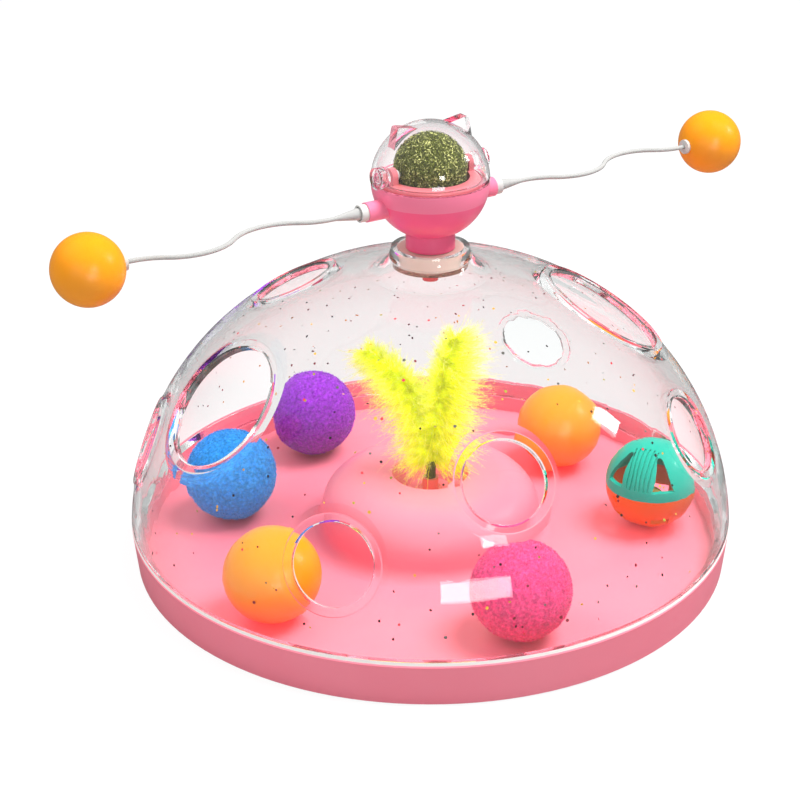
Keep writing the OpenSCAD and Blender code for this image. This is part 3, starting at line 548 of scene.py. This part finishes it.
def plume(name, outer_side, knee, tip, reaches, seed, material, barbs=2300, downs=22):
    """A downy plume: a bowed stem, barbs that hang at its root and rise towards its tip, longer on the outer
    side, and short down along every barb. The stem is root (1-u)^2 + 2 knee u (1-u) + tip u^2, and a barb is
    a path start + length (t way + t^2 curl)."""
    rng = np.random.default_rng(seed)
    root = np.array([0, 0, QUILL_TOP - QUILL_OVERLAP])
    knee = np.array(knee, float)
    tip = np.array(tip, float)

    def stem(u):
        """Points along the bowed stem."""
        u = u[:, None]
        return root * (1 - u) ** 2 + 2 * knee * u * (1 - u) + tip * u ** 2

    u = 0.04 + 0.96 * rng.uniform(0, 1, barbs) ** 0.95
    at = stem(u)
    rise = unit(stem(u + 0.02) - stem(u - 0.02))
    depth = np.array([0.0, 1.0, 0.0])
    side = unit(np.cross(depth, rise)) * outer_side
    outer = rng.uniform(0, 1, barbs) < OUTER_BARBS
    around = np.where(outer, 0, math.pi) + rng.normal(0, 0.55, barbs)
    out = np.cos(around)[:, None] * side + np.sin(around)[:, None] * depth
    open_angle = np.where(outer, 114 - 56 * u ** 1.1, 80 - 30 * u) + rng.normal(0, 9, barbs)
    open_angle = np.radians(open_angle)[:, None]
    way = np.cos(open_angle) * rise + np.sin(open_angle) * out
    fullness = (0.85 + 0.15 * np.sin(math.pi * u)) * (1 - 0.3 * u ** 4)
    reach = np.where(outer, reaches[0], reaches[1]) * fullness
    reach = (reach * rng.uniform(0.5, 1.12, barbs))[:, None, None]
    curl = (-0.1 * out - 0.1 * (1 - u[:, None]) * rise + 0.15 * rng.normal(size=way.shape))[:, None, :]
    t = np.linspace(0, 1, 6)[None, :, None]
    path = at[:, None, :] + reach * (t * way[:, None, :] + t ** 2 * curl)
    across = unit(np.cross(way, rng.normal(size=way.shape)))
    width = np.broadcast_to(0.15 * (1 - 0.9 * t[..., 0] ** 1.3), path.shape[:2])
    barb_points, barb_faces = blades(path, width, np.broadcast_to(across[:, None, :], path.shape))
    barb_tint = 0.2 + 0.75 * t[..., 0] ** 1.4 + 0.1 * rng.normal(size=(barbs, 1)) + 0.2 * (u[:, None] - 0.5)

    s = rng.uniform(0.05, 0.95, (barbs, downs, 1))
    base = at[:, None, :] + reach * (s * way[:, None, :] + s ** 2 * curl)
    hair_way = unit(unit(way[:, None, :] + 2 * s * curl) * 0.9 + 0.65 * rng.normal(size=base.shape))
    hair_len = rng.uniform(1.0, 2.8, (barbs, downs, 1)) * (1.15 - 0.6 * s)
    hair_end = base + hair_len * (hair_way + 0.12 * rng.normal(size=base.shape))
    hair = np.stack([base, hair_end], 2).reshape(-1, 2, 3)
    hair_across = unit(np.cross(hair_way.reshape(-1, 3), rng.normal(size=(barbs * downs, 3))))
    hair_width = np.broadcast_to(np.array([0.055, 0.018]), hair.shape[:2])
    hair_points, hair_faces = blades(hair, hair_width, np.broadcast_to(hair_across[:, None, :], hair.shape))
    hair_tint = 0.25 + 0.7 * s ** 1.3 + 0.1 * rng.normal(size=s.shape) + 0.2 * (u[:, None, None] - 0.5)
    hair_tint = np.repeat(hair_tint.reshape(-1, 1), 2, 1)

    v = np.linspace(0, 1, 30)
    line = stem(v)
    thick = (1.1 * (1 - v) ** 0.8 + 0.12)[:, None]
    ring = np.linspace(0, 2 * math.pi, 10, endpoint=False)
    tube = line[:, None, :] + thick[..., None] * np.stack([np.cos(ring), np.sin(ring), 0 * ring], -1)[None]
    stem_points = tube.reshape(-1, 3)
    points = np.concatenate([stem_points, barb_points, hair_points])
    barb_start = len(stem_points)
    hair_start = barb_start + len(barb_points)
    faces = np.concatenate([
        grid_faces(len(v), len(ring)), barb_faces + barb_start, hair_faces + hair_start])
    tint = np.concatenate([
        np.full(barb_start, 0.12), np.repeat(barb_tint.ravel(), 2), np.repeat(hair_tint.ravel(), 2)])
    turned = np.array([
        [math.cos(FAN_TURN), -math.sin(FAN_TURN), 0], [math.sin(FAN_TURN), math.cos(FAN_TURN), 0], [0, 0, 1]])
    tint = np.clip(tint, 0, 1)
    piece = build(name + "_down", points @ turned.T, faces, material, tint=tint)
    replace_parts(piece, name)
    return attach(piece, "feather")


def dome_point(azimuth, elevation, depth):
    """Point inside the dome's wall: the arc's ring of centres plus the arc's radius less the depth."""
    reach = DOME_SHIFT + (DOME_ARC - depth) * np.cos(elevation)
    height = DOME_SPRING + (DOME_ARC - depth) * np.sin(elevation)
    return np.stack([reach * np.cos(azimuth), reach * np.sin(azimuth), height], -1)


def glitter(material, seed, count=420):
    """Glitter in the dome's wall: small flat flakes at seeded places, clear of the holes and the neck."""
    rng = np.random.default_rng(seed)
    azimuth = rng.uniform(-math.pi, math.pi, count * 2)
    elevation = np.arcsin(rng.uniform(math.sin(FLAKES_FROM), 0.97, count * 2))
    depth = rng.uniform(0.8, 2.2, count * 2)
    spot = dome_point(azimuth, elevation, depth)
    hole = dome_point(np.radians(PAW_HOLES[:, 0]), np.radians(PAW_HOLES[:, 1]), 1.5)
    gap = np.linalg.norm(spot[:, None, :] - hole[None], axis=-1) - PAW_HOLES[None, :, 2]
    free = (gap.min(1) > 1.0) & (np.hypot(spot[:, 0], spot[:, 1]) > NECK_R + 3)
    spot, azimuth, elevation = spot[free][:count], azimuth[free][:count], elevation[free][:count]
    normal = np.stack([
        np.cos(elevation) * np.cos(azimuth), np.cos(elevation) * np.sin(azimuth), np.sin(elevation)], -1)
    normal = unit(normal + 0.35 * rng.normal(size=normal.shape))
    east = unit(np.cross(normal, rng.normal(size=normal.shape)))
    north = np.cross(normal, east)
    sizes, shares = [0.48, 0.6, 0.74], [0.4, 0.4, 0.2]
    size = rng.choice(sizes, len(spot), p=shares)[:, None, None]
    turn = np.linspace(0, 2 * math.pi, FLAKE_SIDES, endpoint=False)[None, :, None]
    corners = spot[:, None, :] + size * (np.cos(turn) * east[:, None, :] + np.sin(turn) * north[:, None, :])
    faces = np.arange(len(spot) * FLAKE_SIDES).reshape(-1, FLAKE_SIDES)
    tint = np.repeat(rng.uniform(0, 1, len(spot)), FLAKE_SIDES)
    piece = build("dome_glitter", corners.reshape(-1, 3), faces, material, tint=tint, smooth=False)
    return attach(piece, "dome")


def glitter_foil():
    """Foil flakes in a few colours, picked by each flake's own tint."""
    material, tree, shader, _, _ = new_material("glitter_foil")
    tint = put(tree, "ShaderNodeAttribute", attribute_name="tint", attribute_type="GEOMETRY")
    pick = put(tree, "ShaderNodeValToRGB", {"Fac": tint.outputs["Fac"]})
    pick.color_ramp.interpolation = "CONSTANT"
    shades = [(0.0, srgb(20, 10, 12)), (0.35, srgb(212, 160, 50)), (0.6, srgb(120, 14, 34)),
              (0.74, srgb(150, 140, 50)), (0.87, srgb(214, 60, 70)), (0.94, srgb(90, 90, 84))]
    pick.color_ramp.elements[0].color = shades[0][1]
    pick.color_ramp.elements[1].position = shades[1][0]
    pick.color_ramp.elements[1].color = shades[1][1]
    for position, colour in shades[2:]:
        pick.color_ramp.elements.new(position).color = colour
    tree.links.new(pick.outputs["Color"], shader.inputs["Base Color"])
    shader.inputs["Roughness"].default_value = 0.5
    return material


def paint(material, *names):
    """Gives CAD nodes their looks."""
    for name in names:
        nodes[name].data.materials.clear()
        nodes[name].data.materials.append(material)


# Moulded colours
paint(plastic(
    "tray_pink", srgb(243, 133, 151), srgb(243, 127, 146),
    gloss=(0.36, 0.48), coat=0.0, glow=0.05), "base_tray")
paint(plastic(
    "pad_rubber", srgb(131, 126, 122), srgb(113, 109, 107), gloss=(0.6, 0.8), coat=0.0), "anti_slip_pads")
paint(plastic("socket_coral", srgb(243, 131, 114), srgb(243, 113, 100)), "feather_socket")
paint(plastic("quill_green", srgb(68, 90, 10), srgb(59, 79, 7), gloss=(0.3, 0.5), coat=0.1), "feather_quill")
paint(plastic("bush_cream", srgb(230, 208, 194), srgb(222, 199, 184), gloss=(0.3, 0.45)), "bearing_bush")
pod_gloss = (0.28, 0.38)
paint(plastic(
    "bowl_pink", srgb(243, 96, 141), srgb(243, 90, 135), gloss=pod_gloss, coat=0.1, glow=0.05), "pod_bowl")
paint(plastic("band_pink", srgb(243, 128, 160), srgb(241, 121, 154), gloss=pod_gloss, coat=0.1), "arm_ring")
paint(plastic(
    "holder_pink", srgb(206, 112, 120), srgb(200, 104, 112), gloss=pod_gloss, coat=0.2), "catnip_holder")
paint(plastic(
    "washer_steel", srgb(206, 206, 204), srgb(185, 185, 182), gloss=(0.25, 0.4), coat=0.0), "spindle_washer")
paint(plastic("screw_red", srgb(222, 66, 66), srgb(206, 53, 55)), "spindle_screw")
white_plastic = plastic("arm_white", srgb(206, 206, 203), srgb(197, 197, 194), gloss=(0.3, 0.4), coat=0.1)
# Painted shade: the wire is a darker copy of the arms' white, so the thin wire reads grey against the white
# room
shaded_wire_white = plastic("shaded_wire_white", srgb(178, 178, 176), srgb(170, 170, 168), gloss=(0.35, 0.45), coat=0.0)
paint(white_plastic, "catnip_axle", "left_collar", "right_collar", "left_ferrule", "right_ferrule")
rattle_gloss = (0.3, 0.4)
teal_light = (0.55, 0.62, 0.58, 1)
paint(plastic(
    "rattle_teal", srgb(10, 180, 156), srgb(8, 168, 145),
    gloss=rattle_gloss, coat=0.0, mirror=0.3, passes=teal_light), "rattle_upper")
orange_light = (0.8, 0.3, 0.12, 1)
paint(plastic(
    "rattle_orange", srgb(226, 98, 0), srgb(220, 92, 0),
    gloss=rattle_gloss, coat=0.0, mirror=0.15, passes=orange_light), "rattle_lower")
paint(plastic("bell_brass", srgb(217, 174, 87), srgb(195, 150, 68), gloss=(0.2, 0.35)), "jingle_bell")
paint(plastic("pellet_steel", srgb(185, 185, 185), srgb(163, 163, 163), gloss=(0.2, 0.35)), "bell_pellet")
dome_tints = ((0.885, 0.9, 0.895, 1), (0.6, 0.655, 0.64, 1))
# Painted highlight: a band of matt white along the dome's foot
dome_foot_highlight = (FOOT_HIGHLIGHT_R * MM, FOOT_HIGHLIGHT_TOP * MM, srgb(244, 239, 235))
paint(clear_plastic("dome_clear", *dome_tints, foot_highlight=dome_foot_highlight), "clear_dome")
# Painted reflection: the clear cover's ear rims are coloured pink
ear_reflection = ((0, 0, POD_Z * MM), (COVER_R + 0.15) * MM, EARS_FROM * MM, srgb(236, 112, 130))
cover_tints = ((0.95, 0.945, 0.945, 1), (0.62, 0.65, 0.645, 1))
paint(clear_plastic("cover_clear", *cover_tints, rim_reflection=ear_reflection), "clear_cover")

# Loose balls and the balls on the arms
ball_gloss = (0.3, 0.38)
ball_light = (0.62, 0.16, 0.08, 1)
ball_orange = plastic(
    "ball_orange", srgb(243, 150, 22), srgb(243, 144, 20),
    gloss=ball_gloss, coat=0.0, glow=0.12, passes=ball_light)
end_orange = plastic(
    "end_ball_orange", srgb(243, 154, 14), srgb(243, 148, 12), gloss=ball_gloss, coat=0.0, glow=0.1)
hollow_ball("orange_ball_front", "orange_front", ball_orange, 0.5)
hollow_ball("orange_ball_back", "orange_back", ball_orange, 1.1)
hollow_ball("left_end_ball", "left_wand", end_orange, 1.57)
hollow_ball("right_end_ball", "right_wand", end_orange, 1.57)
# Plush tones: a painted shaded colour for roots and dips, the ball's own colour, and a painted lit colour for
# tips and bumps; then the specks' range, and the seed
plush_looks = {
    "purple": ((srgb(108, 26, 160), srgb(154, 50, 202), srgb(196, 90, 234)), (0.62, 1.28), 3),
    "blue": ((srgb(28, 112, 206), srgb(58, 160, 238), srgb(104, 194, 250)), (0.68, 1.24), 5),
    "magenta": ((srgb(204, 36, 98), srgb(240, 76, 138), srgb(250, 120, 176)), (0.68, 1.24), 7),
}
for plush_name, (tones, uneven, seed) in plush_looks.items():
    felt = tinted_fibre("plush_" + plush_name, tones, 0.3, specks=700.0, uneven=uneven)
    plush_ball(plush_name + "_plush_ball", plush_name + "_plush", felt, seed)

# Catnip, feather, arms and glitter
leaf_tones = (srgb(34, 38, 14), srgb(108, 114, 48), srgb(224, 224, 146))
leaf = tinted_fibre("catnip_leaf", leaf_tones, 0.1, specks=1200.0, uneven=(0.5, 1.4))
leaf_ball("catnip_ball", "catnip", leaf, 11)
down_tones = (srgb(230, 236, 12), srgb(248, 252, 40), srgb(250, 255, 182))
# Painted glow: the down emits a little of its own colour
down = tinted_fibre("feather_down", down_tones, 0.1, through=0.5, painted_glow=0.26)
plume("plume_left", -1, (1, 1, 72), (-27, 4, 90), (21.0, 12.0), 13, down)
plume("plume_right", 1, (2, -1, 72), (10, -3, 99), (25.0, 12.0), 17, down)
arm_wire("left", -1, shaded_wire_white)
arm_wire("right", 1, shaded_wire_white)
glitter(glitter_foil(), 19)


# Studio: a pale floor that keeps the shadow, and a white room for what the plastic shows
def studio_floor():
    """A wide floor that is mostly its own pale colour to the camera, and still takes a soft shadow."""
    half, own_white, mirrored_white, seen_share = 4000.0, 1.16, 0.25, 0.8
    white = (1, 1, 1, 1)
    material, tree, shader, out, _ = new_material("studio_floor")
    shader.inputs["Base Color"].default_value = (0.5, 0.5, 0.51, 1)
    shader.inputs["Roughness"].default_value = 0.35
    glow = put(tree, "ShaderNodeEmission", {"Color": white, "Strength": own_white}).outputs["Emission"]
    dim = put(tree, "ShaderNodeEmission", {"Color": white, "Strength": mirrored_white}).outputs["Emission"]
    path = put(tree, "ShaderNodeLightPath").outputs
    seen = calc(tree, "MAXIMUM", path["Is Camera Ray"], path["Is Transmission Ray"])
    pale = mix_surface(tree, calc(tree, "MULTIPLY", seen, seen_share), shader.outputs["BSDF"], glow)
    mirrored = calc(tree, "SUBTRACT", path["Is Glossy Ray"], path["Is Transmission Ray"], use_clamp=True)
    tree.links.new(mix_surface(tree, mirrored, pale, dim), out.inputs["Surface"])
    corners = np.array([[-half, -half, 0], [half, -half, 0], [half, half, 0], [-half, half, 0]])
    mesh = bpy.data.meshes.new("studio_floor")
    mesh.from_pydata((corners * MM).tolist(), [], [(0, 1, 2, 3)])
    mesh.materials.append(material)
    floor = bpy.data.objects.new("studio_floor", mesh)
    bpy.context.scene.collection.objects.link(floor)


def studio_world(seen, mirrored, fill, inside_share=0.7):
    """A room that is white where it is looked at, nearly so for looks that have been inside the plastic,
    darker where it is mirrored, and a soft fill elsewhere."""
    white = (1, 1, 1, 1)
    world = bpy.data.worlds.new("studio")
    world.use_nodes = True
    tree = world.node_tree
    tree.nodes.clear()
    path = put(tree, "ShaderNodeLightPath").outputs
    direct = calc(tree, "MAXIMUM", path["Is Camera Ray"], path["Is Transmission Ray"])
    inside = calc(tree, "GREATER_THAN", path["Transmission Depth"], 0.5)
    looked = calc(tree, "MAXIMUM", direct, calc(tree, "MULTIPLY", inside, inside_share))
    bright = put(tree, "ShaderNodeBackground", {"Color": white, "Strength": seen}).outputs["Background"]
    mirror = put(tree, "ShaderNodeBackground", {"Color": white, "Strength": mirrored}).outputs["Background"]
    soft = put(tree, "ShaderNodeBackground", {"Color": (1, 0.99, 0.985, 1), "Strength": fill})
    unseen = mix_surface(tree, path["Is Glossy Ray"], soft.outputs["Background"], mirror)
    put(tree, "ShaderNodeOutputWorld", {"Surface": mix_surface(tree, looked, unseen, bright)})
    bpy.context.scene.world = world


def softbox(name, direction, distance, width, height, watts, mirrored):
    """A flat studio light that looks back at the toy's middle, and shows in mirror images or lights it."""
    light = bpy.data.lights.new(name, "AREA")
    light.shape = "RECTANGLE"
    light.size = width
    light.size_y = height
    light.energy = watts
    way = Vector(direction).normalized()
    lamp = bpy.data.objects.new(name, light)
    lamp.visible_glossy = mirrored
    lamp.visible_transmission = mirrored
    lamp.visible_diffuse = not mirrored
    lamp.location = Vector(TOY_MIDDLE) + way * distance
    lamp.rotation_euler = way.to_track_quat("Z", "Y").to_euler()
    bpy.context.scene.collection.objects.link(lamp)


def photo_camera(azimuth, elevation, distance, target, lens, shift):
    """A camera that looks at the target from an azimuth and an elevation in degrees."""
    turn, rise = math.radians(azimuth), math.radians(elevation)
    back = Vector((math.sin(turn) * math.cos(rise), -math.cos(turn) * math.cos(rise), math.sin(rise)))
    camera = bpy.data.cameras.new("photo_camera")
    camera.lens = lens
    camera.sensor_width = 36
    camera.shift_x, camera.shift_y = shift
    rig = bpy.data.objects.new("photo_camera", camera)
    rig.location = Vector(target) + back * distance
    rig.rotation_euler = back.to_track_quat("Z", "Y").to_euler()
    bpy.context.scene.collection.objects.link(rig)
    bpy.context.scene.camera = rig


studio_floor()
studio_world(seen=1.0, mirrored=0.2, fill=0.42)
softbox("key", (0.42, -0.3, 1.0), 1.3, 0.7, 0.7, 28, mirrored=False)
softbox("fill_left", (-0.9, -0.6, 0.4), 1.3, 0.8, 0.8, 3.5, mirrored=False)
softbox("fill_back", (-0.6, 0.4, 1.0), 1.3, 1.0, 1.0, 6, mirrored=False)
softbox("front_low", (-0.29, -0.956, 0.06), 1.2, 0.5, 0.16, 2.4, mirrored=True)
softbox("front_high", (-0.135, -0.912, 0.387), 1.2, 0.2, 0.16, 1.8, mirrored=True)
softbox("right", (0.764, -0.363, 0.534), 1.2, 0.12, 0.2, 1.8, mirrored=True)
photo_camera(-32.33, 25.99, 0.751, (0, 0, 0.06239), 76.86, (-0.038, 0.0155))
bpy.context.scene.view_settings.view_transform = "Standard"
